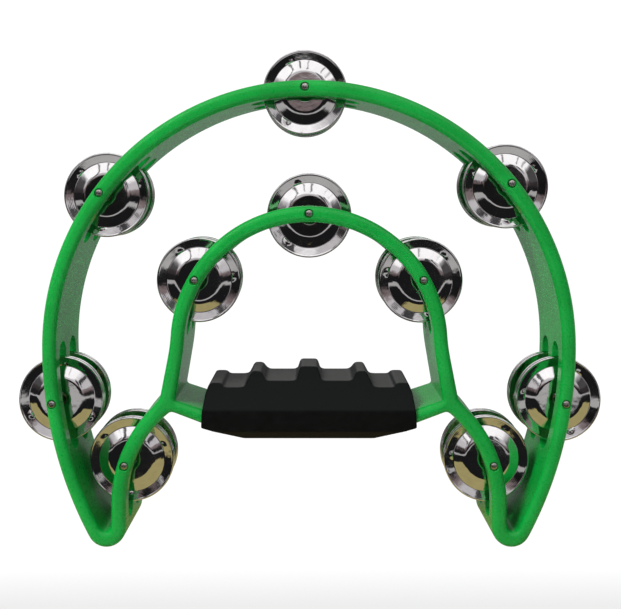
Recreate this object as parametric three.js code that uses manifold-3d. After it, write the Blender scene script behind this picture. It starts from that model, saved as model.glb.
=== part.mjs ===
// Half-moon tambourine with two rows of jingle pairs and a rubber hand grip.
//
// Millimetres. +X is to the right of a person facing the front, +Z is up and the front faces -Y.
// The origin is midway between the two tips, at their lowest points, in the middle of the frame's depth.
// Outlines are drawn in the x, z plane and extruded along Y. Each is symmetric about x = 0, so only its
// right half is written out.

import * as THREE from 'three';
import { mergeVertices } from 'three/addons/utils/BufferGeometryUtils.js';
import Module from 'manifold-3d';

// ---- Driving dimensions ----

const FRAME_DEPTH = 45;
const FRONT_Y = -FRAME_DEPTH / 2;
const RIM_ROUNDING = 2.4; // the rims of the band are rounded by this much, front and back
const ARC_SAG = 0.14; // how far a facet may leave the arc it stands for
const HALF_PI = Math.PI / 2;

// Outer band: a circle above its centre height, then a flatter flank down to each tip.
const BAND_CENTRE_Z = 92.2;
const BAND_OUTER_R = 123;
const BAND_INNER_R = 116.5;
const BAND_INNER_CENTRE_Z = 91.3; // lower than the outer centre, so the band is thickest at the top
const FLANK_OUTER_R = 186;
const FLANK_INNER_R = FLANK_OUTER_R - (BAND_OUTER_R - BAND_INNER_R);
const FLANK_CENTRE_X = BAND_OUTER_R - FLANK_OUTER_R;
const TIP_R = 9;
const TIP_X = FLANK_CENTRE_X + Math.sqrt((FLANK_OUTER_R - TIP_R) ** 2 - (BAND_CENTRE_Z - TIP_R) ** 2);

// Leg: rises from the tip, then curves in to meet the arch and the crossbar.
const LEG_INNER_X = TIP_X - TIP_R;
const LEG_THICKNESS = 6.9;
const LEG_STRAIGHT_TOP_Z = 20;
const LEG_INNER_R = 54.2;
const LEG_OUTER_R = LEG_INNER_R + LEG_THICKNESS;
const LEG_CENTRE_X = LEG_INNER_X - LEG_INNER_R;
const CROTCH_R = 2.7; // rounding at the bottom of the gap between flank and leg

// Arch over the hand opening.
const ARCH_OUTER_R = 64;
const ARCH_OUTER_CENTRE_Z = 93;
const ARCH_INNER_R = 57.6;
const ARCH_INNER_CENTRE_Z = 92;
const ARCH_BLEND = 6; // length over which the arch's sides turn outward, above and below its centre height
const ARCH_FOOT_OUTER = [68.8, 68.2];
const ARCH_FOOT_INNER = [61.7, 67.6];

// Crossbar that carries the grip.
const CROOK_ANGLE = 0.802; // direction from the leg's centre to its corner under the arch
const NOTCH_ANGLE = 0.9; // direction from the leg's centre to its corner under the crossbar
const BAR_FLAT_HALF_LENGTH = 40;
const BAR_TOP_Z = 60.5;
const BAR_BOTTOM_Z = 53.5;
const NOTCH = [
  LEG_CENTRE_X + LEG_INNER_R * Math.cos(NOTCH_ANGLE),
  LEG_STRAIGHT_TOP_Z + LEG_INNER_R * Math.sin(NOTCH_ANGLE),
];

// Slots for the jingles, two across the depth at each pin.
const SLOT_HALF_LENGTH = 25.5;
const SLOT_HALF_WIDTH = 5.5;
const SLOT_Y = 9; // distance of each slot's middle from the middle of the frame's depth
const SLOT_RISE = 1; // on the band's sides, slots lie this much nearer the top than their pins
const SLOT_REACH_OUT = 5;
const SLOT_REACH_IN = 11;

// Pins: each is pushed in from the front and ends inside the rear wall.
const PIN_R = 1.15;
const PIN_HEAD_R = 1.6;
const PIN_HEAD_Y = FRONT_Y + 0.15;
const PIN_HEAD_HEIGHT = 0.75;
const PIN_END_Y = 19.2;
const PIN_HOLE_R = 1.55;
const PIN_HOLE_END_Y = 19.6;
const PIN_RECESS_R = 2.2;
const PIN_RECESS_DEPTH = 1.3;
const PIN_SIDES = 10;
const ARCH_PIN_CIRCLE_R = 60.6;
const FLANK_PIN_OFFSET = 0.3; // the lowest outer pins sit this far outside the middle of the flank

// Direction of each pin from the centre of its arc, in degrees above the horizontal on its own side.
const PIN_ANGLES = {
  top: 90.9,
  upper_left: 36.3,
  upper_right: 38.9,
  lower: -8.25,
  arch_top: 90,
  arch_side: 29.5,
  leg: 17.7,
};

// Jingles: thin dished discs, in pairs with their bosses turned away from each other.
const JINGLE_R = 20;
const JINGLE_SHEET = 0.6;
const JINGLE_HOLE_R = 2.5;
const JINGLE_BOSS_R = 10.7;
const JINGLE_BOSS_HEIGHT = 2.6;
const JINGLE_CREASE_R = 15.8;
const JINGLE_LIP_HEIGHT = 1.2;
const JINGLE_SIDES = 12;
const JINGLE_REAR_GAP = 0.4; // from the rear jingle's boss to the wall behind it
const JINGLE_PAIR_GAP = 0.5; // between the creases of a pair

// Play between hole and pin lets each jingle rest off its pin's centre: by these (x, z) amounts in the
// front row, and straight down in the rear row.
const FRONT_REST = {
  top: [0, -1.1],
  upper_left: [0.7, -0.9],
  upper_right: [-0.1, -1.1],
  lower_left: [1.1, -0.2],
  lower_right: [-0.3, -0.3],
  arch_top: [0.1, -1.1],
  arch_left: [0.7, -0.9],
  arch_right: [0, -1.1],
  leg_left: [1, -0.3],
  leg_right: [-1.1, -0.1],
};
const REAR_REST = [0, -1.1];

// Rubber grip around the crossbar: widest at its crease, with front and back faces that lean in above it.
const GRIP_HALF_LENGTH = 49.5;
const GRIP_TOP_Z = 81.5;
const GRIP_TOP_HALF_DEPTH = 10.5;
const GRIP_CREASE_Z = 63.7;
const GRIP_HALF_DEPTH = 24.4;
const GRIP_CHAMFER_Z = 53.9;
const GRIP_CHAMFER_HALF_DEPTH = 23.6;
const GRIP_BOTTOM_Z = 49.7;
const GRIP_BOTTOM_HALF_DEPTH = 19.5;
const GRIP_BAR_GAP = 0.3;
const OVERSHOOT = 10; // how far a cutting or trimming solid runs past the piece it shapes

const GREEN_PLASTIC = { color: 0x14a53a, roughness: 0.3, metalness: 0 };
const BLACK_RUBBER = { color: 0x1a1b1c, roughness: 0.75, metalness: 0 };
const STEEL = { color: 0xb4b4b0, roughness: 0.3, metalness: 1 };
const CHROME = { color: 0xd8d8d6, roughness: 0.08, metalness: 1 };

const wasm = await Module();
wasm.setup();

// ---- Outlines ----

// Points of an arc in the x, z plane, from one angle to another (radians, anticlockwise from +X).
function arc(centreX, centreZ, radius, from, to) {
  const step = 2 * Math.acos(1 - ARC_SAG / radius);
  const count = Math.max(2, Math.ceil(Math.abs(to - from) / step));
  return Array.from({ length: count + 1 }, (_, i) => {
    const angle = from + ((to - from) * i) / count;
    return new THREE.Vector2(centreX + radius * Math.cos(angle), centreZ + radius * Math.sin(angle));
  });
}

// A smooth bend from one point to another, aimed at the corner it replaces.
function bend(start, corner, end, count = 4) {
  const curve = new THREE.QuadraticBezierCurve(
    new THREE.Vector2(...start),
    new THREE.Vector2(...corner),
    new THREE.Vector2(...end),
  );
  return curve.getPoints(count);
}

function points(...pairs) {
  return pairs.map(([x, z]) => new THREE.Vector2(x, z));
}

// Closes a right half, whose first and last points may lie on x = 0, with its mirror image.
function withMirror(half) {
  const left = half
    .filter((p) => p.x > 1e-6)
    .map((p) => new THREE.Vector2(-p.x, p.y))
    .reverse();
  return [...half, ...left];
}

// Drops points that repeat the one before, and turns the outline anticlockwise.
function tidied(outline) {
  const distinct = outline.filter((p, i) => p.distanceTo(outline.at(i - 1)) > 0.05);
  return THREE.ShapeUtils.isClockWise(distinct) ? distinct.reverse() : distinct;
}

function frameOutline() {
  const tipAngle = Math.atan2(TIP_R - BAND_CENTRE_Z, TIP_X - FLANK_CENTRE_X);
  return withMirror([
    ...arc(0, BAND_CENTRE_Z, BAND_OUTER_R, HALF_PI, 0),
    ...arc(FLANK_CENTRE_X, BAND_CENTRE_Z, FLANK_OUTER_R, 0, tipAngle),
    ...arc(TIP_X, TIP_R, TIP_R, tipAngle, -Math.PI),
    ...arc(LEG_CENTRE_X, LEG_STRAIGHT_TOP_Z, LEG_INNER_R, 0, NOTCH_ANGLE),
    ...points([BAR_FLAT_HALF_LENGTH, BAR_BOTTOM_Z]),
  ]);
}

// The horseshoe-shaped opening between the outer band, the legs and the arch.
function horseshoeOutline() {
  const crotchX = LEG_INNER_X + LEG_THICKNESS + CROTCH_R;
  const drop = Math.sqrt((FLANK_INNER_R - CROTCH_R) ** 2 - (crotchX - FLANK_CENTRE_X) ** 2);
  const crotchZ = BAND_INNER_CENTRE_Z - drop;
  const crotchAngle = Math.atan2(-drop, crotchX - FLANK_CENTRE_X);
  return withMirror([
    ...arc(0, BAND_INNER_CENTRE_Z, BAND_INNER_R, HALF_PI, 0),
    ...arc(FLANK_CENTRE_X, BAND_INNER_CENTRE_Z, FLANK_INNER_R, 0, crotchAngle),
    ...arc(crotchX, crotchZ, CROTCH_R, crotchAngle, -Math.PI),
    ...arc(LEG_CENTRE_X, LEG_STRAIGHT_TOP_Z, LEG_OUTER_R, 0, CROOK_ANGLE),
    ...archSide(ARCH_OUTER_R, ARCH_OUTER_CENTRE_Z, ARCH_FOOT_OUTER),
    ...arc(0, ARCH_OUTER_CENTRE_Z, ARCH_OUTER_R, Math.asin(ARCH_BLEND / ARCH_OUTER_R), HALF_PI),
  ]);
}

// The opening for the hand, under the arch and above the crossbar.
function handOpeningOutline() {
  return withMirror([
    ...points([BAR_FLAT_HALF_LENGTH, BAR_TOP_Z]),
    ...archSide(ARCH_INNER_R, ARCH_INNER_CENTRE_Z, ARCH_FOOT_INNER),
    ...arc(0, ARCH_INNER_CENTRE_Z, ARCH_INNER_R, Math.asin(ARCH_BLEND / ARCH_INNER_R), HALF_PI),
  ]);
}

// One edge of the arch's side: straight up and inward from its foot, then turning upright.
function archSide(radius, centreZ, foot) {
  const slope = (foot[0] - radius) / (centreZ - foot[1]);
  const upper = [Math.sqrt(radius ** 2 - ARCH_BLEND ** 2), centreZ + ARCH_BLEND];
  const lower = [radius + slope * ARCH_BLEND, centreZ - ARCH_BLEND];
  return [...points(foot), ...bend(lower, [radius, centreZ], upper)];
}

// A slot seen along the band's surface: x runs along the band and y across its depth.
function slotOutline() {
  const straight = SLOT_HALF_LENGTH - SLOT_HALF_WIDTH;
  return [
    ...arc(straight, 0, SLOT_HALF_WIDTH, -HALF_PI, HALF_PI),
    ...arc(-straight, 0, SLOT_HALF_WIDTH, HALF_PI, 3 * HALF_PI),
  ];
}

// The grip seen from the front: a flat base, raised ends and five flat-topped finger ridges.
function gripOutline() {
  return withMirror([
    ...points([30, GRIP_BOTTOM_Z], [GRIP_HALF_LENGTH, 55.4], [49.2, 61.6], [48, 70.1]),
    ...bend([47.2, 72.6], [46.4, 74.9], [45.2, 74.9], 3),
    ...bend([42.3, 74.9], [40.4, 74.9], [39.9, 73.7], 3),
    ...bend([39.7, 73.5], [39.4, 73], [38, 73], 2),
    ...bend([33, 73], [30.2, 73], [29.4, 74.3], 3),
    ...bend([27.9, 77.3], [27, 79.6], [25.8, 79.6], 3),
    ...bend([23.9, 79.6], [22.5, 79.6], [21.9, 78.5], 3),
    ...bend([20.9, 77], [20, 75.7], [18, 75.7], 3),
    ...bend([8.4, 75.7], [6.2, 75.7], [5.5, 76.9], 3),
    ...bend([4.9, 79], [4.3, GRIP_TOP_Z], [3.2, GRIP_TOP_Z], 3),
  ]);
}

// ---- Solids ----

// Extrudes an outline in the x, z plane along Y, centred on y = 0.
function extrudeAlongY(shape, depth, options = {}) {
  const rounding = options.bevelThickness ?? 0;
  const geometry = new THREE.ExtrudeGeometry(shape, {
    depth: depth - 2 * rounding,
    bevelEnabled: false,
    steps: 1,
    curveSegments: 1,
    ...options,
  });
  geometry.translate(0, 0, rounding - depth / 2);
  return geometry.rotateX(HALF_PI);
}

function toManifold(geometry) {
  const bare = geometry.clone();
  bare.deleteAttribute('normal');
  bare.deleteAttribute('uv');
  const merged = mergeVertices(bare, 1e-4);
  return new wasm.Manifold(
    new wasm.Mesh({
      numProp: 3,
      vertProperties: new Float32Array(merged.attributes.position.array),
      triVerts: new Uint32Array(merged.index.array),
    }),
  );
}

function fromManifold(manifold) {
  const mesh = manifold.getMesh();
  const geometry = new THREE.BufferGeometry();
  geometry.setAttribute('position', new THREE.BufferAttribute(mesh.vertProperties, 3));
  geometry.setIndex(new THREE.BufferAttribute(mesh.triVerts, 1));
  geometry.computeVertexNormals();
  return geometry;
}

// Where each pin stands, the direction that points out of the band there, and how far along the band
// (towards +X at the top) the slots' middles lie from the pin.
function pinPlaces() {
  const outer = { x: 0, z: BAND_CENTRE_Z, radius: (BAND_OUTER_R + BAND_INNER_R) / 2 };
  const flankMiddleR = (FLANK_OUTER_R + FLANK_INNER_R) / 2;
  const flank = { x: FLANK_CENTRE_X, z: BAND_CENTRE_Z, radius: flankMiddleR + FLANK_PIN_OFFSET };
  const arch = { x: 0, z: ARCH_OUTER_CENTRE_Z, radius: ARCH_PIN_CIRCLE_R };
  const leg = { x: LEG_CENTRE_X, z: LEG_STRAIGHT_TOP_Z, radius: (LEG_INNER_R + LEG_OUTER_R) / 2 };
  const place = (circle, degrees, side = 1) => {
    const angle = THREE.MathUtils.degToRad(degrees);
    const outward = new THREE.Vector3(side * Math.cos(angle), 0, Math.sin(angle));
    const x = side * circle.x + circle.radius * outward.x;
    const z = circle.z + circle.radius * outward.z;
    return { x, z, outward, slotShift: 0 };
  };
  const onSide = (circle, degrees, side) => ({ ...place(circle, degrees, side), slotShift: -side * SLOT_RISE });
  return {
    top: place(outer, PIN_ANGLES.top),
    upper_left: onSide(outer, PIN_ANGLES.upper_left, -1),
    upper_right: onSide(outer, PIN_ANGLES.upper_right, 1),
    lower_left: onSide(flank, PIN_ANGLES.lower, -1),
    lower_right: onSide(flank, PIN_ANGLES.lower, 1),
    arch_top: place(arch, PIN_ANGLES.arch_top),
    arch_left: place(arch, PIN_ANGLES.arch_side, -1),
    arch_right: place(arch, PIN_ANGLES.arch_side),
    leg_left: place(leg, PIN_ANGLES.leg, -1),
    leg_right: place(leg, PIN_ANGLES.leg),
  };
}

function slotCutter(place, slotY) {
  const cutter = new THREE.ExtrudeGeometry(new THREE.Shape(slotOutline()), {
    depth: SLOT_REACH_IN + SLOT_REACH_OUT,
    bevelEnabled: false,
    curveSegments: 1,
  });
  const acrossDepth = new THREE.Vector3(0, 1, 0);
  const alongBand = new THREE.Vector3().crossVectors(acrossDepth, place.outward);
  const start = new THREE.Vector3(place.x, slotY, place.z)
    .addScaledVector(place.outward, -SLOT_REACH_IN)
    .addScaledVector(alongBand, place.slotShift);
  const matrix = new THREE.Matrix4().makeBasis(alongBand, acrossDepth, place.outward).setPosition(start);
  return cutter.applyMatrix4(matrix);
}

// A blind hole from the front with a wider recess for the pin's head.
function pinHoleCutter(place) {
  const profile = points(
    [0, FRONT_Y - OVERSHOOT],
    [PIN_RECESS_R, FRONT_Y - OVERSHOOT],
    [PIN_RECESS_R, FRONT_Y + PIN_RECESS_DEPTH],
    [PIN_HOLE_R, FRONT_Y + PIN_RECESS_DEPTH],
    [PIN_HOLE_R, PIN_HOLE_END_Y],
    [0, PIN_HOLE_END_Y],
  );
  return new THREE.LatheGeometry(profile, PIN_SIDES).translate(place.x, 0, place.z);
}

function frameGeometry(places) {
  const shape = new THREE.Shape(tidied(frameOutline()));
  shape.holes.push(new THREE.Path(tidied(horseshoeOutline())));
  shape.holes.push(new THREE.Path(tidied(handOpeningOutline())));
  let solid = toManifold(
    extrudeAlongY(shape, FRAME_DEPTH, {
      bevelEnabled: true,
      bevelThickness: RIM_ROUNDING,
      bevelSize: RIM_ROUNDING,
      bevelOffset: -RIM_ROUNDING,
      bevelSegments: 2,
    }),
  );
  for (const place of Object.values(places)) {
    solid = solid.subtract(toManifold(slotCutter(place, -SLOT_Y)));
    solid = solid.subtract(toManifold(slotCutter(place, SLOT_Y)));
    solid = solid.subtract(toManifold(pinHoleCutter(place)));
  }
  return fromManifold(solid);
}

// The crossbar's outline grown by a small gap, to hollow the grip.
function barCavityOutline() {
  const gap = GRIP_BAR_GAP;
  return withMirror(
    points(
      [BAR_FLAT_HALF_LENGTH, BAR_TOP_Z + gap],
      [ARCH_FOOT_INNER[0], ARCH_FOOT_INNER[1] + gap],
      [NOTCH[0], NOTCH[1] - gap],
      [BAR_FLAT_HALF_LENGTH, BAR_BOTTOM_Z - gap],
    ),
  );
}

function gripGeometry() {
  const body = extrudeAlongY(new THREE.Shape(gripOutline()), 2 * GRIP_HALF_DEPTH);
  const endOn = withMirror(
    points(
      [GRIP_TOP_HALF_DEPTH, GRIP_TOP_Z + OVERSHOOT],
      [GRIP_TOP_HALF_DEPTH, GRIP_TOP_Z],
      [GRIP_HALF_DEPTH, GRIP_CREASE_Z],
      [GRIP_CHAMFER_HALF_DEPTH, GRIP_CHAMFER_Z],
      [GRIP_BOTTOM_HALF_DEPTH, GRIP_BOTTOM_Z],
      [GRIP_BOTTOM_HALF_DEPTH - OVERSHOOT, GRIP_BOTTOM_Z - OVERSHOOT],
    ),
  );
  const length = 2 * (GRIP_HALF_LENGTH + OVERSHOOT);
  const envelope = extrudeAlongY(new THREE.Shape(endOn), length).rotateZ(HALF_PI);
  const cavity = extrudeAlongY(new THREE.Shape(barCavityOutline()), FRAME_DEPTH + 2 * GRIP_BAR_GAP);
  return fromManifold(toManifold(body).intersect(toManifold(envelope)).subtract(toManifold(cavity)));
}

function pinGeometry() {
  const headEdgeY = PIN_HEAD_Y + PIN_HEAD_HEIGHT / 2;
  const headBackY = PIN_HEAD_Y + PIN_HEAD_HEIGHT;
  const profile = points(
    [0, PIN_HEAD_Y],
    [PIN_HEAD_R * 0.65, PIN_HEAD_Y + 0.12],
    [PIN_HEAD_R, headEdgeY],
    [PIN_HEAD_R, headBackY],
    [PIN_R, headBackY],
    [PIN_R, PIN_END_Y],
    [0, PIN_END_Y],
  );
  return new THREE.LatheGeometry(profile, PIN_SIDES);
}

// A jingle about the Y axis with its boss towards +Y. y = 0 is the back of its crease.
function jingleGeometry() {
  const back = [
    [JINGLE_HOLE_R, JINGLE_BOSS_HEIGHT],
    [JINGLE_BOSS_R, JINGLE_BOSS_HEIGHT],
    [JINGLE_CREASE_R, 0],
    [JINGLE_R, JINGLE_LIP_HEIGHT],
  ];
  const face = back.map(([r, y]) => [r, y + JINGLE_SHEET]).reverse();
  return new THREE.LatheGeometry(points(...back, ...face, back[0]), JINGLE_SIDES);
}

// ---- The assembly ----

function piece(name, geometry, material) {
  const mesh = new THREE.Mesh(geometry, new THREE.MeshStandardMaterial(material));
  mesh.name = name;
  return mesh;
}

// The two jingles of one slot, off their pin's centre by their rest and lying towards the slot's rear wall.
function jinglePair(name, place, slotY, rest) {
  const wallY = slotY + SLOT_HALF_WIDTH;
  const rearBackY = wallY - JINGLE_REAR_GAP - JINGLE_BOSS_HEIGHT - JINGLE_SHEET;
  const facingRear = piece(`jingle_${name}_b`, jingleGeometry(), CHROME);
  facingRear.position.set(place.x + rest[0], rearBackY, place.z + rest[1]);
  const facingFront = piece(`jingle_${name}_a`, jingleGeometry(), CHROME);
  facingFront.position.set(place.x + rest[0], rearBackY - JINGLE_PAIR_GAP, place.z + rest[1]);
  facingFront.rotation.x = Math.PI;
  return [facingFront, facingRear];
}

const tambourine = new THREE.Group();
const places = pinPlaces();
tambourine.add(piece('frame', frameGeometry(places), GREEN_PLASTIC));
tambourine.add(piece('grip', gripGeometry(), BLACK_RUBBER));
for (const [name, place] of Object.entries(places)) {
  const pin = piece(`pin_${name}`, pinGeometry(), STEEL);
  pin.position.set(place.x, 0, place.z);
  tambourine.add(pin);
  tambourine.add(...jinglePair(`${name}_front`, place, -SLOT_Y, FRONT_REST[name]));
  tambourine.add(...jinglePair(`${name}_rear`, place, SLOT_Y, REAR_REST));
}

export default tambourine;
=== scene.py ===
"""The looks of a half-moon tambourine: moulded green frame, bright pressed jingles, steel pins, rubber grip.

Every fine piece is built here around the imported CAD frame, in metres. +X is to the right, +Z up, and the
front faces -Y.
"""

import math
import random

import bmesh
import bpy
from mathutils import Matrix, Vector
from mathutils.geometry import tessellate_polygon


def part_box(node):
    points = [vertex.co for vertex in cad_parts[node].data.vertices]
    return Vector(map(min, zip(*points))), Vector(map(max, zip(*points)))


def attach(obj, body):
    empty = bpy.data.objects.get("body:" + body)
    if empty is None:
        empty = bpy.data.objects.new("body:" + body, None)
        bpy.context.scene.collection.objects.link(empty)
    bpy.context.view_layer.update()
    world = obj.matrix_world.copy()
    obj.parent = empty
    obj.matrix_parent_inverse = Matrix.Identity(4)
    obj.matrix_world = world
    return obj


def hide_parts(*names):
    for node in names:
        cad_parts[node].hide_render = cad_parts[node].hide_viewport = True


MM = 0.001
HALF_PI = math.pi / 2

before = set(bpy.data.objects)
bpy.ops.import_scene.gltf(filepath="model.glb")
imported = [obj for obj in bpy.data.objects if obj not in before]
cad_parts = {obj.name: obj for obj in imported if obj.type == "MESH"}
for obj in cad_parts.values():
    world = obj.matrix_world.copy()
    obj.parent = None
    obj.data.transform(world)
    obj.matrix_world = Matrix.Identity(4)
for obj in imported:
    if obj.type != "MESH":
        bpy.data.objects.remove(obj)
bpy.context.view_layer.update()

POSITIONS = (
    "top", "upper_left", "upper_right", "lower_left", "lower_right",
    "arch_top", "arch_left", "arch_right", "leg_left", "leg_right",
)
ROWS = ("front", "rear")

# ---- Sizes of the frame's outline, in millimetres, and in step with its CAD node ----

FRAME_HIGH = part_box("frame")[1]
HALF_DEPTH = FRAME_HIGH.y / MM
BAND_OUTER_R = FRAME_HIGH.x / MM
BAND_CENTRE_Z = FRAME_HIGH.z / MM - BAND_OUTER_R
BAND_THICKNESS = 6.5
BAND_INNER_R = BAND_OUTER_R - BAND_THICKNESS
BAND_INNER_CENTRE_Z = BAND_CENTRE_Z - 0.9
FLANK_OUTER_R = 186
FLANK_INNER_R = FLANK_OUTER_R - BAND_THICKNESS
FLANK_CENTRE_X = BAND_OUTER_R - FLANK_OUTER_R
TIP_R = 9
TIP_X = FLANK_CENTRE_X + math.sqrt((FLANK_OUTER_R - TIP_R) ** 2 - (BAND_CENTRE_Z - TIP_R) ** 2)
LEG_INNER_X = TIP_X - TIP_R
LEG_THICKNESS = 6.9
LEG_STRAIGHT_TOP_Z = 20
LEG_INNER_R = 54.2
LEG_OUTER_R = LEG_INNER_R + LEG_THICKNESS
LEG_CENTRE_X = LEG_INNER_X - LEG_INNER_R
CROTCH_R = 2.7  # rounding at the bottom of the gap between flank and leg
ARCH_OUTER_R = 64
ARCH_OUTER_CENTRE_Z = 93
ARCH_INNER_R = 57.6
ARCH_INNER_CENTRE_Z = 92
ARCH_BLEND = 6
ARCH_FOOT_OUTER = (68.8, 68.2)
ARCH_FOOT_INNER = (61.7, 67.6)
CROOK_ANGLE = 0.802
NOTCH_ANGLE = 0.9
BAR_FLAT_HALF_LENGTH = 40
BAR_TOP_Z = 60.5
BAR_BOTTOM_Z = 53.5

OUTLINE_STEP = 1.2  # spacing of points along the fine outlines
CORNER_SOFTENING = 1  # smoothing passes that round the outlines' inside corners
RIM_INSET = 2.9  # how far the rounding of a rim reaches across the wall
RIM_RUN = 2.6  # how far it reaches along the depth
RIM_STEPS = 7

SLOT_HALF_LENGTH = 25.5
SLOT_HALF_WIDTH = 5.5
SLOT_RISE = 1  # on the band's sides, slots lie this much nearer the top than their pins
SLOT_Y = 9
SLOT_EDGE = 0.5  # rounding of the slots' edges
SLOT_SIDE_STEPS = 24
SLOT_END_STEPS = 16

PIN_R = 1.15
PIN_HEAD_R = 1.6
PIN_HOLE_R = 1.5
PIN_RECESS_R = 2.15
PIN_RECESS_DEPTH = 1.2

JINGLE_R = 20
JINGLE_SHEET = 0.5
JINGLE_HOLE_R = 2.5
JINGLE_BOSS_R = 10.4
JINGLE_BOSS_HEIGHT = 2.6
JINGLE_CREASE_R = 15.4
JINGLE_LIP_HEIGHT = 1.2
JINGLE_SIDES = 144
TAB_HALF_WIDTH = 1.7
TAB_LENGTH = 2.4
TAB_DEPTH = 0.55

# How far each front pair tips, in degrees: its top towards the rear, then its right edge towards the rear.
FRONT_TIPS = {
    "top": (0.8, 0.5),
    "upper_left": (-0.5, 1.5),
    "upper_right": (0.5, -1),
    "lower_left": (-0.8, 1.5),
    "lower_right": (0, -1.5),
    "arch_top": (0, 1),
    "arch_left": (0.5, 0),
    "arch_right": (0.5, 0.5),
    "leg_left": (1.5, 0.5),
    "leg_right": (-1.8, -1),
}

CAMERA_PLACE = (0.7, -437.5, 160.3)
CAMERA_LENS = 52.5
CAMERA_SHIFT = -0.17  # lowers the picture's middle below the camera's own height


# ---- Outlines, as lists of (x, z) ----

def arc(centre, radius, start, end):
    """Points of an arc, from one angle to another, anticlockwise from +X."""
    count = max(3, math.ceil(radius * abs(end - start) / OUTLINE_STEP))
    angles = [start + (end - start) * i / count for i in range(count + 1)]
    return [(centre[0] + radius * math.cos(a), centre[1] + radius * math.sin(a)) for a in angles]


def bend(start, corner, end, count=8):
    """A smooth turn from one point to another, aimed at the corner it replaces."""
    def at(t):
        return tuple(
            (1 - t) ** 2 * a + 2 * t * (1 - t) * b + t * t * c
            for a, b, c in zip(start, corner, end)
        )
    return [at(i / count) for i in range(count + 1)]


def with_mirror(half):
    return half + [(-x, z) for x, z in reversed(half)]


def resample(outline, step):
    """The same closed outline with evenly spaced points."""
    closed = outline + outline[:1]
    spans = [math.dist(a, b) for a, b in zip(closed, closed[1:])]
    total = sum(spans)
    count = round(total / step)
    points, index, passed = [], 0, 0.0
    for i in range(count):
        target = total * i / count
        while passed + spans[index] < target:
            passed += spans[index]
            index += 1
        t = (target - passed) / max(spans[index], 1e-9)
        a, b = closed[index], closed[index + 1]
        points.append((a[0] + (b[0] - a[0]) * t, a[1] + (b[1] - a[1]) * t))
    return points


def softened(outline, passes):
    """Rounds sharp corners by moving each point towards the middle of its neighbours."""
    for _ in range(passes):
        count = len(outline)
        outline = [
            tuple(
                0.5 * outline[i][k] + 0.25 * (outline[i - 1][k] + outline[(i + 1) % count][k])
                for k in (0, 1)
            )
            for i in range(count)
        ]
    return outline


def area(outline):
    return sum(a[0] * b[1] - b[0] * a[1] for a, b in zip(outline, outline[1:] + outline[:1])) / 2


def finished(half, hole):
    """A closed fine outline with the material on its left."""
    outline = softened(resample(with_mirror(half), OUTLINE_STEP), CORNER_SOFTENING)
    if (area(outline) > 0) == hole:
        outline.reverse()
    return outline


def frame_outline():
    tip_angle = math.atan2(TIP_R - BAND_CENTRE_Z, TIP_X - FLANK_CENTRE_X)
    return finished(
        arc((0, BAND_CENTRE_Z), BAND_OUTER_R, HALF_PI, 0)
        + arc((FLANK_CENTRE_X, BAND_CENTRE_Z), FLANK_OUTER_R, 0, tip_angle)
        + arc((TIP_X, TIP_R), TIP_R, tip_angle, -math.pi)
        + arc((LEG_CENTRE_X, LEG_STRAIGHT_TOP_Z), LEG_INNER_R, 0, NOTCH_ANGLE)
        + [(BAR_FLAT_HALF_LENGTH, BAR_BOTTOM_Z)],
        hole=False,
    )


def arch_side(radius, centre_z, foot):
    slope = (foot[0] - radius) / (centre_z - foot[1])
    upper = (math.sqrt(radius ** 2 - ARCH_BLEND ** 2), centre_z + ARCH_BLEND)
    lower = (radius + slope * ARCH_BLEND, centre_z - ARCH_BLEND)
    return [foot] + bend(lower, (radius, centre_z), upper)


def horseshoe_outline():
    crotch_x = LEG_INNER_X + LEG_THICKNESS + CROTCH_R
    drop = math.sqrt((FLANK_INNER_R - CROTCH_R) ** 2 - (crotch_x - FLANK_CENTRE_X) ** 2)
    crotch_angle = math.atan2(-drop, crotch_x - FLANK_CENTRE_X)
    return finished(
        arc((0, BAND_INNER_CENTRE_Z), BAND_INNER_R, HALF_PI, 0)
        + arc((FLANK_CENTRE_X, BAND_INNER_CENTRE_Z), FLANK_INNER_R, 0, crotch_angle)
        + arc((crotch_x, BAND_INNER_CENTRE_Z - drop), CROTCH_R, crotch_angle, -math.pi)
        + arc((LEG_CENTRE_X, LEG_STRAIGHT_TOP_Z), LEG_OUTER_R, 0, CROOK_ANGLE)
        + arch_side(ARCH_OUTER_R, ARCH_OUTER_CENTRE_Z, ARCH_FOOT_OUTER)
        + arc((0, ARCH_OUTER_CENTRE_Z), ARCH_OUTER_R, math.asin(ARCH_BLEND / ARCH_OUTER_R), HALF_PI),
        hole=True,
    )


def hand_opening_outline():
    return finished(
        [(BAR_FLAT_HALF_LENGTH, BAR_TOP_Z)]
        + arch_side(ARCH_INNER_R, ARCH_INNER_CENTRE_Z, ARCH_FOOT_INNER)
        + arc((0, ARCH_INNER_CENTRE_Z), ARCH_INNER_R, math.asin(ARCH_BLEND / ARCH_INNER_R), HALF_PI),
        hole=True,
    )


def away_directions(outline):
    """Unit direction away from the material at each point."""
    count = len(outline)
    directions = []
    for i in range(count):
        dx = outline[(i + 1) % count][0] - outline[i - 1][0]
        dz = outline[(i + 1) % count][1] - outline[i - 1][1]
        length = math.hypot(dx, dz)
        directions.append((dz / length, -dx / length))
    return directions


# ---- Mesh building ----

def add_object(name, bm):
    """A new object from a bmesh, with its faces turned outward."""
    bmesh.ops.recalc_face_normals(bm, faces=bm.faces)
    mesh = bpy.data.meshes.new(name)
    bm.to_mesh(mesh)
    bm.free()
    obj = bpy.data.objects.new(name, mesh)
    bpy.context.scene.collection.objects.link(obj)
    return obj


def bridge(bm, rings, closed=False):
    """Quads between rings of vertices, each ring a closed loop."""
    pairs = list(zip(rings, rings[1:]))
    if closed:
        pairs.append((rings[-1], rings[0]))
    for low, high in pairs:
        count = len(low)
        for i in range(count):
            j = (i + 1) % count
            bm.faces.new((low[i], low[j], high[j], high[i]))


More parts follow.
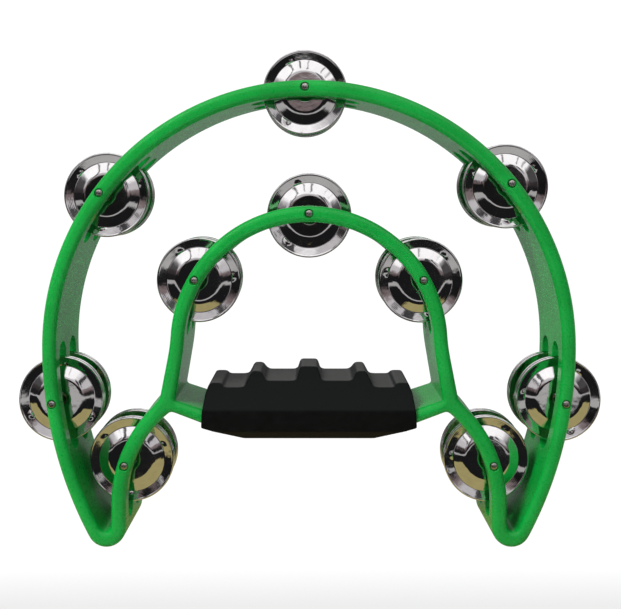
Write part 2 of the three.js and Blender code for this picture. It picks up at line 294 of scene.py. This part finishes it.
def shade(obj, angle_deg):
    """Smooth shading with creases sharper than the angle kept."""
    for polygon in obj.data.polygons:
        polygon.use_smooth = True
    obj.data.set_sharp_from_angle(angle=math.radians(angle_deg))


def apply_modifiers(obj):
    depsgraph = bpy.context.evaluated_depsgraph_get()
    mesh = bpy.data.meshes.new_from_object(obj.evaluated_get(depsgraph))
    obj.modifiers.clear()
    obj.data = mesh


def subtract(obj, cutters):
    """Cuts a list of solids away from the object, and removes them."""
    for cutter in cutters:
        modifier = obj.modifiers.new("cut", "BOOLEAN")
        modifier.operation = "DIFFERENCE"
        modifier.solver = "MANIFOLD"
        modifier.object = cutter
    apply_modifiers(obj)
    for cutter in cutters:
        bpy.data.objects.remove(cutter)


def merged(objects):
    """One object from several that don't touch."""
    bm = bmesh.new()
    for obj in objects:
        bm.from_mesh(obj.data)
        bpy.data.objects.remove(obj)
    return add_object("cutters", bm)


def lathe(name, profile, sides, closed=False):
    """Turns (radius, y) pairs in millimetres about the Y axis. An open profile ends on the axis."""
    bm = bmesh.new()
    rings = []
    for radius, y in profile:
        angles = [2 * math.pi * i / sides for i in range(sides)]
        ring = [
            bm.verts.new((radius * MM * math.cos(a), y * MM, radius * MM * math.sin(a)))
            for a in angles
        ]
        rings.append(ring)
    bridge(bm, rings, closed)
    if not closed:
        bmesh.ops.remove_doubles(bm, verts=bm.verts, dist=1e-7)
    return add_object(name, bm)


# ---- Frame ----

def rim_profile():
    """(inset, y) pairs round the rims, from the front land to the rear land."""
    front = []
    for i in range(RIM_STEPS + 1):
        a = HALF_PI * i / RIM_STEPS
        front.append((RIM_INSET * (1 - math.sin(a)), RIM_RUN * (1 - math.cos(a)) - HALF_DEPTH))
    return front + [(inset, -y) for inset, y in reversed(front)]


def frame_blank(outlines):
    """The frame before its slots are cut: each outline swept round the rims, with flat lands between."""
    bm = bmesh.new()
    profile = rim_profile()
    front_rings, rear_rings = [], []
    for outline in outlines:
        away = away_directions(outline)
        rings = []
        for inset, y in profile:
            ring = [
                bm.verts.new(((x - inset * ax) * MM, y * MM, (z - inset * az) * MM))
                for (x, z), (ax, az) in zip(outline, away)
            ]
            rings.append(ring)
        bridge(bm, rings)
        front_rings.append(rings[0])
        rear_rings.append(rings[-1])
    for ring_set in (front_rings, rear_rings):
        flat = [vertex for ring in ring_set for vertex in ring]
        for triangle in tessellate_polygon([[v.co.xzy for v in ring] for ring in ring_set]):
            bm.faces.new([flat[i] for i in triangle])
    return add_object("frame_shell", bm)


def height_above(outline, origin, along, out, u):
    """Distance along out from the line through origin to the nearest crossing of the outline at u."""
    best = None
    local = [
        ((x - origin[0]) * along[0] + (z - origin[1]) * along[1],
         (x - origin[0]) * out[0] + (z - origin[1]) * out[1])
        for x, z in outline
    ]
    for (u0, v0), (u1, v1) in zip(local, local[1:] + local[:1]):
        if min(u0, u1) <= u < max(u0, u1):
            v = v0 + (v1 - v0) * (u - u0) / (u1 - u0)
            if best is None or abs(v) < abs(best):
                best = v
    return best


def slot_ring(grow, shift):
    """(u, y) pairs round a slot grown by an amount and shifted along u: straight sides, full-round ends."""
    straight = SLOT_HALF_LENGTH - SLOT_HALF_WIDTH
    radius = SLOT_HALF_WIDTH + grow
    sides = SLOT_SIDE_STEPS
    half = [(-straight + 2 * straight * i / sides, -radius) for i in range(sides)]
    half += [
        (straight + radius * math.cos(a), radius * math.sin(a))
        for a in (math.pi * i / SLOT_END_STEPS - HALF_PI for i in range(SLOT_END_STEPS))
    ]
    return [(shift + u, y) for u, y in half] + [(shift - u, -y) for u, y in half]


def close_slot_ring(bm, ring):
    """Closes a slot's ring with strips across it, so that the cap follows the wall's curve."""
    count = len(ring)
    tip = SLOT_SIDE_STEPS + SLOT_END_STEPS // 2
    for step in range(count // 2):
        corners = (tip - step, tip - step - 1, tip + step + 1, tip + step)
        bm.faces.new(list(dict.fromkeys(ring[corner % count] for corner in corners)))


def slot_levels():
    """(growth, depth below the surface) from outside the surface to where the slot's wall is straight."""
    steps = 4
    levels = [(SLOT_EDGE, -2.0)]
    for i in range(steps + 1):
        a = HALF_PI * i / steps
        levels.append((SLOT_EDGE * (1 - math.sin(a)), SLOT_EDGE * (1 - math.cos(a)) - 0.02))
    return levels


def slot_cutter(place, along, out, outer_outline, inner_outline, slot_y, shift):
    """A slot's solid, flared where it meets the wall's two faces."""
    bm = bmesh.new()
    rings = []
    faces = [(outer_outline, slot_levels(), 1), (inner_outline, list(reversed(slot_levels())), -1)]
    for outline, levels, side in faces:
        for grow, depth in levels:
            ring = []
            for u, y in slot_ring(grow, shift):
                v = height_above(outline, place, along, out, u) - side * depth
                x = place[0] + u * along[0] + v * out[0]
                z = place[1] + u * along[1] + v * out[1]
                ring.append(bm.verts.new((x * MM, (slot_y + y) * MM, z * MM)))
            rings.append(ring)
    bridge(bm, rings)
    close_slot_ring(bm, rings[0])
    close_slot_ring(bm, rings[-1])
    return add_object("slot", bm)


def pin_place(position):
    low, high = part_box(f"pin_{position}")
    return ((low.x + high.x) / 2 / MM, (low.z + high.z) / 2 / MM)


def out_direction(position, place):
    """Unit direction out of the wall at a pin, away from the centre of the wall's arc."""
    side = -1 if place[0] < 0 else 1
    if position.startswith("lower"):
        centre = (side * FLANK_CENTRE_X, BAND_CENTRE_Z)
    elif position.startswith("leg"):
        centre = (side * LEG_CENTRE_X, LEG_STRAIGHT_TOP_Z)
    elif position.startswith("arch"):
        centre = (0, ARCH_OUTER_CENTRE_Z)
    else:
        centre = (0, BAND_CENTRE_Z)
    dx, dz = place[0] - centre[0], place[1] - centre[1]
    length = math.hypot(dx, dz)
    return (dx / length, dz / length)


def pin_hole_cutter(place):
    front = -HALF_DEPTH
    lip = 0.25
    profile = [
        (0, front - 1),
        (PIN_RECESS_R + lip, front - 1),
        (PIN_RECESS_R + lip, front + 0.1),
        (PIN_RECESS_R, front + 0.1 + lip),
        (PIN_RECESS_R, front + PIN_RECESS_DEPTH),
        (PIN_HOLE_R, front + PIN_RECESS_DEPTH),
        (PIN_HOLE_R, HALF_DEPTH - 3),
        (0, HALF_DEPTH - 3),
    ]
    cutter = lathe("pin_hole", profile, 32)
    cutter.data.transform(Matrix.Translation((place[0] * MM, 0, place[1] * MM)))
    return cutter


def make_frame():
    outer, horseshoe, hand = frame_outline(), horseshoe_outline(), hand_opening_outline()
    shell = frame_blank([outer, horseshoe, hand])
    slots, holes = [], []
    for position in POSITIONS:
        place = pin_place(position)
        out = out_direction(position, place)
        along = (out[1], -out[0])
        if position.startswith("arch"):
            walls = (horseshoe, hand)
        elif position.startswith("leg"):
            walls = (horseshoe, outer)
        else:
            walls = (outer, horseshoe)
        on_side = position.startswith(("upper", "lower"))
        shift = math.copysign(SLOT_RISE, -place[0]) if on_side else 0
        for slot_y in (-SLOT_Y, SLOT_Y):
            slots.append(slot_cutter(place, along, out, *walls, slot_y, shift))
        holes.append(pin_hole_cutter(place))
    subtract(shell, [merged(slots)])
    subtract(shell, [merged(holes)])
    shade(shell, 40)
    weighted = shell.modifiers.new("weighted", "WEIGHTED_NORMAL")
    weighted.keep_sharp = True
    weighted.weight = 80
    shell.data.materials.clear()
    shell.data.materials.append(green_plastic())
    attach(shell, "frame")
    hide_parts("frame")


# ---- Pins ----

def pin_mesh():
    """A pin about the Y axis, with a low domed head at the front."""
    head_front = -HALF_DEPTH + 0.15
    dome = 0.55
    profile = [(0, head_front)]
    for i in range(1, 9):
        a = HALF_PI * i / 8
        profile.append((PIN_HEAD_R * math.sin(a), head_front + dome * (1 - math.cos(a))))
    profile += [
        (PIN_HEAD_R, head_front + 0.75),
        (PIN_R, head_front + 0.78),
        (PIN_R, 19.0),
        (PIN_R - 0.2, 19.2),
        (0, 19.2),
    ]
    template = lathe("pin_template", profile, 32)
    shade(template, 50)
    template.data.materials.append(pin_steel())
    mesh = template.data
    bpy.data.objects.remove(template)
    return mesh


def make_pins():
    mesh = pin_mesh()
    for position in POSITIONS:
        place = pin_place(position)
        pin = bpy.data.objects.new(f"pin_{position}_turned", mesh)
        bpy.context.scene.collection.objects.link(pin)
        pin.location = (place[0] * MM, 0, place[1] * MM)
        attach(pin, "frame")
        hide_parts(f"pin_{position}")


# ---- Jingles ----

def jingle_section(radius):
    """Height of the sheet's back above its crease, at a radius."""
    if radius <= JINGLE_BOSS_R:
        return JINGLE_BOSS_HEIGHT
    if radius <= JINGLE_CREASE_R:
        t = (radius - JINGLE_BOSS_R) / (JINGLE_CREASE_R - JINGLE_BOSS_R)
        return JINGLE_BOSS_HEIGHT * (1 - t)
    t = (radius - JINGLE_CREASE_R) / (JINGLE_R - JINGLE_CREASE_R)
    return JINGLE_LIP_HEIGHT * t


def eased_height(radius, ease):
    """The section with its bends eased over a width."""
    near = [jingle_section(radius + ease * k / 4) for k in range(-2, 3)]
    return sum(near) / len(near)


def jingle_profile():
    """Closed (radius, y) section of the pressed sheet, with a soft boss, a tight crease and a rolled edge."""
    radii = [JINGLE_HOLE_R + 0.15, 5, 7.5]
    radii += [JINGLE_BOSS_R + 0.35 * k for k in range(-4, 5)]
    radii += [12.6, 13.6, 14.4]
    radii += [JINGLE_CREASE_R + 0.12 * k for k in range(-3, 4)]
    radii += [16.1, 16.6, 17.1, 17.6, 18.2, 18.8, 19.1]
    def height(radius):
        return eased_height(radius, 1.9 if radius < 13 else 0.4)
    back = [(r, height(r)) for r in radii]
    edge_y = height(19.3) + JINGLE_SHEET / 2
    roll = JINGLE_SHEET / 2 + 0.12
    edge = [
        (19.35 + 0.65 * math.sin(a), edge_y - roll * math.cos(a))
        for a in (math.pi * i / 10 for i in range(11))
    ]
    face = [(r, y + JINGLE_SHEET) for r, y in reversed(back)]
    hole_y = back[0][1]
    hole = [(JINGLE_HOLE_R, hole_y + JINGLE_SHEET * k) for k in (0.75, 0.25)]
    return back + edge + face + hole


def jingle_template():
    """A pressed jingle with its boss towards +Y and three small tabs punched outside its crease."""
    template = lathe("jingle_template", jingle_profile(), JINGLE_SIDES, closed=True)
    for vertex in template.data.vertices:
        x, y, z = vertex.co / MM
        radius, angle = math.hypot(x, z), math.atan2(z, x)
        for k in range(3):
            turn = math.remainder(angle - k * 2 * math.pi / 3, 2 * math.pi)
            across = radius - JINGLE_CREASE_R
            beside = abs(turn) * radius - (TAB_HALF_WIDTH - 0.3 * across)
            inside = min(1, max(0, 0.5 - beside / 0.7)) * min(1, max(0, across / 0.5))
            vertex.co.y += TAB_DEPTH * inside * max(0, 1 - across / TAB_LENGTH) * MM
        vertex.co.y += 0.06 * MM * math.sin(2 * angle + 0.6) * (radius / JINGLE_R) ** 2
    shade(template, 75)
    template.data.materials.append(jingle_nickel())
    return template


def make_jingles():
    """Each jingle is the template turned by its own amount and tipped a little, as it lies in its slot."""
    template = jingle_template()
    turns = random.Random(7)
    for position in POSITIONS:
        for row in ROWS:
            tip = FRONT_TIPS[position] if row == "front" else (turns.uniform(-1, 1), turns.uniform(-1, 1))
            tip_matrix = (
                Matrix.Rotation(math.radians(tip[0]), 4, "X") @ Matrix.Rotation(math.radians(tip[1]), 4, "Z")
            )
            for which in ("a", "b"):
                node = f"jingle_{position}_{row}_{which}"
                low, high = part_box(node)
                flip = Matrix.Rotation(math.pi if which == "a" else 0, 4, "X")
                spin = Matrix.Rotation(turns.uniform(0, 2 * math.pi), 4, "Y")
                mesh = template.data.copy()
                mesh.transform(tip_matrix @ flip @ spin)
                jingle = bpy.data.objects.new(f"{node}_pressed", mesh)
                bpy.context.scene.collection.objects.link(jingle)
                crease_y = high.y if which == "a" else low.y
                jingle.location = ((low.x + high.x) / 2, crease_y, (low.z + high.z) / 2)
                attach(jingle, node)
                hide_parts(node)
    bpy.data.objects.remove(template)


# ---- Grip ----

def grip_half_outline():
    """Right half of the grip from the front, in millimetres, from its underside up over the ridges."""
    return (
        [(30, 49.7), (49.5, 55.4), (49.2, 61.6), (48, 70.1)]
        + bend((47.2, 72.6), (46.4, 74.9), (45.2, 74.9))
        + bend((42.3, 74.9), (40.4, 74.9), (39.9, 73.7))
        + bend((39.7, 73.5), (39.4, 73), (38, 73), 4)
        + bend((33, 73), (30.2, 73), (29.4, 74.3))
        + bend((27.9, 77.3), (27, 79.6), (25.8, 79.6))
        + bend((23.9, 79.6), (22.5, 79.6), (21.9, 78.5))
        + bend((20.9, 77), (20, 75.7), (18, 75.7))
        + bend((8.4, 75.7), (6.2, 75.7), (5.5, 76.9))
        + bend((4.9, 79), (4.3, 81.5), (3.2, 81.5))
    )


def prism(name, outline, half_depth):
    """Extrudes an (x, z) outline along Y."""
    bm = bmesh.new()
    rings = [
        [bm.verts.new((x * MM, y * MM, z * MM)) for x, z in outline]
        for y in (-half_depth, half_depth)
    ]
    bridge(bm, rings)
    bm.faces.new(rings[0])
    bm.faces.new(rings[1])
    bmesh.ops.triangulate(bm, faces=[f for f in bm.faces if len(f.verts) > 4])
    return add_object(name, bm)


def make_grip():
    """The ridged block trimmed by its end-on shape, with every edge a little rounded."""
    half_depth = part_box("grip")[1].y / MM
    grip = prism("grip_rubber", with_mirror(grip_half_outline()), half_depth + 1)
    end_on = [(10.5, 95), (10.5, 81.5), (half_depth, 63.7), (23.6, 53.9), (19.5, 49.7), (9.5, 39.7)]
    envelope = prism("grip_envelope", with_mirror(end_on), 60)
    envelope.data.transform(Matrix.Rotation(HALF_PI, 4, "Z"))
    trim = grip.modifiers.new("trim", "BOOLEAN")
    trim.operation = "INTERSECT"
    trim.solver = "MANIFOLD"
    trim.object = envelope
    apply_modifiers(grip)
    bpy.data.objects.remove(envelope)
    remesh = grip.modifiers.new("remesh", "REMESH")
    remesh.mode = "VOXEL"
    remesh.voxel_size = 0.5 * MM
    relax = grip.modifiers.new("relax", "SMOOTH")
    relax.factor = 0.5
    relax.iterations = 5
    apply_modifiers(grip)
    shade(grip, 180)
    grip.data.materials.clear()
    grip.data.materials.append(black_rubber())
    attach(grip, "frame")
    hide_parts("grip")


# ---- Materials ----

class Nodes:
    """A small helper for wiring a material's or a world's nodes."""

    def __init__(self, tree):
        self.tree = tree

    def add(self, kind, **settings):
        node = self.tree.nodes.new(kind)
        for key, value in settings.items():
            setattr(node, key, value)
        return node

    def link(self, source, target):
        self.tree.links.new(source, target)

    def noise(self, vector, scale, detail=2.0, roughness=0.5):
        node = self.add("ShaderNodeTexNoise")
        node.inputs["Scale"].default_value = scale
        node.inputs["Detail"].default_value = detail
        node.inputs["Roughness"].default_value = roughness
        self.link(vector, node.inputs["Vector"])
        return node.outputs["Fac"]

    def span(self, value, low, high, to_low, to_high):
        node = self.add("ShaderNodeMapRange")
        node.inputs["From Min"].default_value = low
        node.inputs["From Max"].default_value = high
        node.inputs["To Min"].default_value = to_low
        node.inputs["To Max"].default_value = to_high
        self.link(value, node.inputs["Value"])
        return node.outputs["Result"]

    def math(self, operation, a, b=None, c=None):
        node = self.add("ShaderNodeMath", operation=operation)
        for index, value in enumerate((a, b, c)):
            if value is None:
                continue
            if isinstance(value, (int, float)):
                node.inputs[index].default_value = value
            else:
                self.link(value, node.inputs[index])
        return node.outputs[0]

    def mix(self, factor, first, second):
        node = self.add("ShaderNodeMix", data_type="RGBA")
        for socket, value in zip((node.inputs[0], node.inputs[6], node.inputs[7]), (factor, first, second)):
            if isinstance(value, (int, float)):
                socket.default_value = value
            elif isinstance(value, tuple):
                socket.default_value = (*value, 1.0)
            else:
                self.link(value, socket)
        return node.outputs[2]

    def bump(self, height, strength, distance, normal=None):
        node = self.add("ShaderNodeBump")
        node.inputs["Strength"].default_value = strength
        node.inputs["Distance"].default_value = distance
        self.link(height, node.inputs["Height"])
        if normal is not None:
            self.link(normal, node.inputs["Normal"])
        return node.outputs["Normal"]


def new_material(name):
    material = bpy.data.materials.new(name)
    material.use_nodes = True
    nodes = Nodes(material.node_tree)
    surface = material.node_tree.nodes["Principled BSDF"]
    place = nodes.add("ShaderNodeTexCoord").outputs["Object"]
    return material, nodes, surface, place


def green_plastic():
    """Glossy moulded plastic: faint colour clouding, moulding waviness and fine scuffs."""
    material, nodes, surface, place = new_material("green_plastic")
    clouds = nodes.noise(place, 60, 3)
    colour = nodes.mix(
        nodes.span(clouds, 0.35, 0.65, 0, 1),
        (0.001, 0.225, 0.026), (0.002, 0.27, 0.034),
    )
    nodes.link(colour, surface.inputs["Base Color"])
    scuffs = nodes.noise(place, 900, 4, 0.7)
    nodes.link(nodes.span(scuffs, 0.3, 0.75, 0.22, 0.42), surface.inputs["Roughness"])
    surface.inputs["Specular IOR Level"].default_value = 0.35
    surface.inputs["Coat Weight"].default_value = 0.12
    surface.inputs["Coat Roughness"].default_value = 0.08
    nodes.link(nodes.bump(nodes.noise(place, 110, 1), 0.08, 0.002), surface.inputs["Normal"])
    return material


def jingle_nickel():
    """Bright plated sheet: fine rings from pressing, haze, small dents and darker marks."""
    material, nodes, surface, place = new_material("jingle_nickel")
    split = nodes.add("ShaderNodeSeparateXYZ")
    nodes.link(place, split.inputs[0])
    x, z = split.outputs[0], split.outputs[2]
    square = nodes.math("ADD", nodes.math("MULTIPLY", x, x), nodes.math("MULTIPLY", z, z))
    radius = nodes.math("SQRT", square)
    smudge = nodes.noise(place, 140, 4, 0.6)
    nodes.link(
        nodes.mix(nodes.span(smudge, 0.3, 0.7, 0, 1), (0.8, 0.79, 0.79), (0.93, 0.92, 0.91)),
        surface.inputs["Base Color"],
    )
    surface.inputs["Metallic"].default_value = 1.0
    nodes.link(nodes.span(smudge, 0.35, 0.75, 0.035, 0.12), surface.inputs["Roughness"])
    rings = nodes.math("SINE", nodes.math("MULTIPLY", radius, 9000))
    ringed = nodes.bump(rings, 0.02, 0.00008)
    dented = nodes.bump(nodes.noise(place, 170, 2), 0.1, 0.001, ringed)
    nodes.link(dented, surface.inputs["Normal"])
    return material


def pin_steel():
    """Plain steel with turning marks and slight tarnish."""
    material, nodes, surface, place = new_material("pin_steel")
    tarnish = nodes.noise(place, 1800, 3)
    nodes.link(
        nodes.mix(nodes.span(tarnish, 0.35, 0.65, 0, 1), (0.42, 0.39, 0.35), (0.72, 0.7, 0.66)),
        surface.inputs["Base Color"],
    )
    surface.inputs["Metallic"].default_value = 1.0
    nodes.link(nodes.span(tarnish, 0.3, 0.7, 0.18, 0.36), surface.inputs["Roughness"])
    nodes.link(nodes.bump(nodes.noise(place, 2500, 2), 0.15, 0.0001), surface.inputs["Normal"])
    return material


def black_rubber():
    """Matt black moulded rubber with a fine spark-eroded grain; faces turned upwards are painted paler, as
    painted sheen from the light above.
    """
    material, nodes, surface, place = new_material("black_rubber")
    mottle = nodes.noise(place, 350, 5, 0.7)
    rubber = nodes.mix(nodes.span(mottle, 0.4, 0.75, 0, 1), (0.0015, 0.002, 0.002), (0.0035, 0.004, 0.004))
    normal = nodes.add("ShaderNodeSeparateXYZ")
    nodes.link(nodes.add("ShaderNodeNewGeometry").outputs["Normal"], normal.inputs[0])
    # painted light: upward faces get a paler colour that stands in for the sheen of the overhead light
    painted_top_light_mask = nodes.span(normal.outputs[2], 0.72, 0.95, 0, 1)
    painted_top_sheen = nodes.mix(nodes.span(mottle, 0.3, 0.7, 0, 1), (0.036, 0.036, 0.035), (0.048, 0.048, 0.046))
    nodes.link(nodes.mix(painted_top_light_mask, rubber, painted_top_sheen), surface.inputs["Base Color"])
    nodes.link(nodes.span(mottle, 0.3, 0.7, 0.5, 0.62), surface.inputs["Roughness"])
    surface.inputs["Specular IOR Level"].default_value = 0.18
    grain = nodes.bump(nodes.noise(place, 2600, 2), 0.25, 0.0001)
    nodes.link(grain, surface.inputs["Normal"])
    return material


# ---- Stage, light and camera ----

def make_world():
    """A white studio. Mirrors see a dark room round the camera under bright, uneven panels."""
    world = bpy.data.worlds.new("studio")
    bpy.context.scene.world = world
    world.use_nodes = True
    nodes = Nodes(world.node_tree)
    background = world.node_tree.nodes["Background"]
    direction = nodes.add("ShaderNodeTexCoord").outputs["Generated"]
    split = nodes.add("ShaderNodeSeparateXYZ")
    nodes.link(direction, split.inputs[0])
    x, y, z = split.outputs

    uneven = nodes.math("SUBTRACT", nodes.noise(direction, 2.6, 1.5), 0.5)
    height = nodes.math("MULTIPLY_ADD", uneven, 0.5, z)
    room = nodes.mix(nodes.span(height, 0.0, 0.06, 0, 1), (0.008, 0.008, 0.008), (0.2, 0.155, 0.16))
    room = nodes.mix(nodes.span(height, 0.13, 0.2, 0, 1), room, (0.55, 0.53, 0.55))
    room = nodes.mix(nodes.span(height, 0.42, 0.55, 0, 1), room, (1.1, 1.08, 1.1))
    seams = nodes.add("ShaderNodeCombineXYZ")
    nodes.link(nodes.math("MULTIPLY", x, 7), seams.inputs[0])
    nodes.link(nodes.math("MULTIPLY", z, 1.5), seams.inputs[2])
    gaps = nodes.span(nodes.noise(seams.outputs[0], 1, 1), 0.57, 0.62, 0, 0.93)
    room = nodes.mix(gaps, room, (0.012, 0.012, 0.013))
    wings = nodes.span(nodes.math("ABSOLUTE", x), 0.72, 0.8, 0, 0.9)
    room = nodes.mix(wings, room, (0.015, 0.014, 0.015))
    mirrored = nodes.mix(nodes.span(y, -0.1, 0.05, 0, 1), room, (0.35, 0.35, 0.35))

    rays = nodes.add("ShaderNodeLightPath")
    shown = nodes.mix(rays.outputs["Is Camera Ray"], mirrored, (1.06, 1.06, 1.06))
    overhead = nodes.mix(nodes.span(z, -0.2, 0.8, 0, 1), (0.16, 0.16, 0.16), (0.62, 0.63, 0.65))
    lit = nodes.mix(rays.outputs["Is Diffuse Ray"], shown, overhead)
    nodes.link(lit, background.inputs["Color"])


def area_light(name, place, target, size, power):
    """A soft light that mirrors don't show."""
    data = bpy.data.lights.new(name, "AREA")
    data.size = size
    data.energy = power
    light = bpy.data.objects.new(name, data)
    bpy.context.scene.collection.objects.link(light)
    light.location = place
    light.rotation_mode = "QUATERNION"
    light.rotation_quaternion = (Vector(target) - Vector(place)).to_track_quat("-Z", "Y")
    light.visible_glossy = False


def make_lights():
    middle = (0, 0, 0.11)
    area_light("key", (-0.6, -0.55, 0.9), middle, 0.4, 13)
    area_light("fill", (-0.8, -0.7, 0.2), middle, 0.6, 2.5)
    area_light("rim", (-0.2, 0.8, 0.7), middle, 0.6, 2)
    area_light("side", (0.9, 0.25, 0.25), middle, 0.6, 3)


def make_floor():
    """A pale floor: white to the camera, with painted shade that greys it to light grey where it comes
    nearest.

    Mirrors see a tan cloth near the tambourine, then a dark gap and a grey table.
    """
    bm = bmesh.new()
    bmesh.ops.create_grid(bm, x_segments=8, y_segments=8, size=3.0)
    floor = add_object("floor", bm)
    material = bpy.data.materials.new("floor_paper")
    material.use_nodes = True
    nodes = Nodes(material.node_tree)
    surface = material.node_tree.nodes["Principled BSDF"]
    place = nodes.add("ShaderNodeTexCoord").outputs["Object"]
    split = nodes.add("ShaderNodeSeparateXYZ")
    nodes.link(place, split.inputs[0])
    y = split.outputs[1]
    grain = nodes.span(nodes.noise(place, 900, 3), 0.3, 0.7, 0, 1)
    nodes.link(nodes.mix(grain, (0.78, 0.78, 0.78), (0.82, 0.82, 0.82)), surface.inputs["Base Color"])
    surface.inputs["Roughness"].default_value = 0.8
    shown = nodes.add("ShaderNodeEmission")
    # painted shade: the floor as the camera sees it greys from white to light grey where it comes nearest
    depth = nodes.add("ShaderNodeCameraData").outputs["View Z Depth"]
    nodes.link(nodes.span(depth, 0.3575, 0.4025, 0.85, 1.06), shown.inputs["Color"])
    by_camera = nodes.add("ShaderNodeMixShader")
    by_camera.inputs[0].default_value = 0.95
    nodes.link(surface.outputs[0], by_camera.inputs[1])
    nodes.link(shown.outputs[0], by_camera.inputs[2])
    reflected = nodes.add("ShaderNodeEmission")
    edge = nodes.math("MULTIPLY_ADD", nodes.noise(place, 25, 1), 0.02, y)
    cloth = nodes.mix(nodes.span(edge, -0.077, -0.073, 0, 1), (0.01, 0.01, 0.011), (0.36, 0.31, 0.135))
    table = nodes.math("MULTIPLY", nodes.span(edge, -0.55, -0.48, 0, 1), nodes.span(edge, -0.3, -0.25, 1, 0))
    cloth = nodes.mix(table, cloth, (0.42, 0.41, 0.41))
    whitened = nodes.mix(nodes.span(y, 0.03, 0.06, 0, 1), cloth, (0.35, 0.35, 0.35))
    nodes.link(whitened, reflected.inputs["Color"])
    rays = nodes.add("ShaderNodeLightPath")
    kinds = (("Is Camera Ray", by_camera), ("Is Glossy Ray", reflected))
    result = surface
    for kind, shader in kinds:
        choice = nodes.add("ShaderNodeMixShader")
        nodes.link(rays.outputs[kind], choice.inputs[0])
        nodes.link(result.outputs[0], choice.inputs[1])
        nodes.link(shader.outputs[0], choice.inputs[2])
        result = choice
    nodes.link(result.outputs[0], material.node_tree.nodes["Material Output"].inputs["Surface"])
    floor.data.materials.append(material)


def make_camera():
    data = bpy.data.cameras.new("camera")
    data.sensor_width = 36
    data.lens = CAMERA_LENS
    data.shift_y = CAMERA_SHIFT
    data.clip_start = 0.01
    camera = bpy.data.objects.new("camera", data)
    bpy.context.scene.collection.objects.link(camera)
    camera.location = Vector(CAMERA_PLACE) * MM
    camera.rotation_euler = (HALF_PI, 0, 0)
    bpy.context.scene.camera = camera
    bpy.context.scene.view_settings.view_transform = "Standard"


make_frame()
make_pins()
make_jingles()
make_grip()
make_world()
make_lights()
make_floor()
make_camera()
